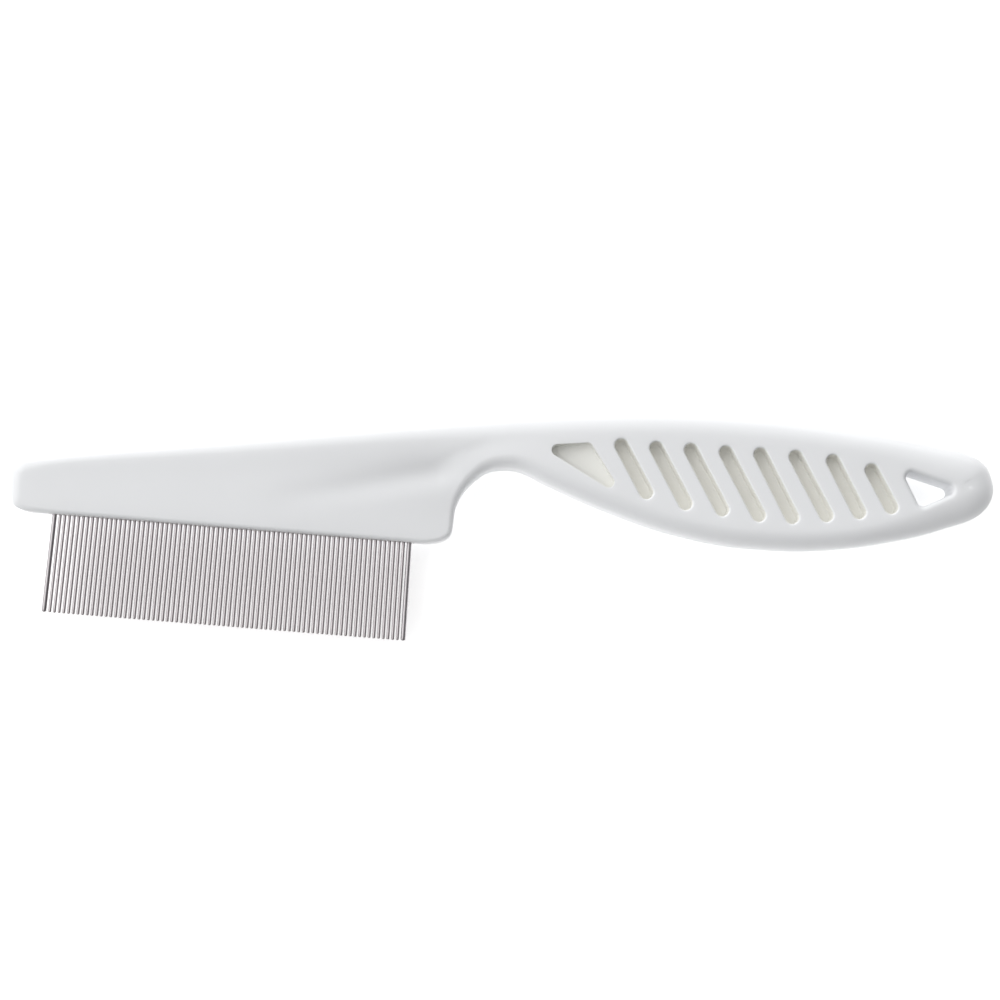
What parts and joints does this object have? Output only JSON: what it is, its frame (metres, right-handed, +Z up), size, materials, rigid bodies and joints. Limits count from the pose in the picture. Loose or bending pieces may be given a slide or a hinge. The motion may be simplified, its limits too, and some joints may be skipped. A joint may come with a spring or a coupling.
{
  "type": "flea comb",
  "caption": "Hand comb with a close row of round steel teeth under a tapered plastic head, a finger notch at the neck, and a slotted leaf-shaped grip with a hanging hole.",
  "frame": {"origin": "under the centre of the whole comb's box, on the plane that the comb lies on", "axes": "+X from the free end of the head to the end of the grip, along the row of teeth; -Y is the way the teeth point; +Z up through the broad face"},
  "size_m": [0.1684, 0.0434, 0.01],
  "materials": {
    "white_plastic": "semi-gloss moulded white plastic",
    "strip_plastic": "plain white plastic",
    "steel": "drawn and polished stainless wire"
  },
  "bodies": {
    "root": {"handle_body": "white_plastic", "tooth_bar": "strip_plastic", "tooth_pair_01": "steel", "tooth_pair_02": "steel", "tooth_pair_03": "steel", "tooth_pair_04": "steel", "tooth_pair_05": "steel", "tooth_pair_06": "steel", "tooth_pair_07": "steel", "tooth_pair_08": "steel", "tooth_pair_09": "steel", "tooth_pair_10": "steel", "tooth_pair_11": "steel", "tooth_pair_12": "steel", "tooth_pair_13": "steel", "tooth_pair_14": "steel", "tooth_pair_15": "steel", "tooth_pair_16": "steel", "tooth_pair_17": "steel", "tooth_pair_18": "steel", "tooth_pair_19": "steel", "tooth_pair_20": "steel", "tooth_pair_21": "steel", "tooth_pair_22": "steel", "tooth_pair_23": "steel", "tooth_pair_24": "steel", "tooth_pair_25": "steel", "tooth_pair_26": "steel", "tooth_pair_27": "steel", "tooth_pair_28": "steel", "tooth_pair_29": "steel", "tooth_pair_30": "steel", "tooth_pair_31": "steel", "tooth_pair_32": "steel", "tooth_pair_33": "steel", "tooth_pair_34": "steel", "tooth_pair_35": "steel", "tooth_pair_36": "steel", "tooth_pair_37": "steel", "tooth_middle": "steel", "tooth_end_left": "steel", "tooth_end_right": "steel"}
  },
  "joints": []
}
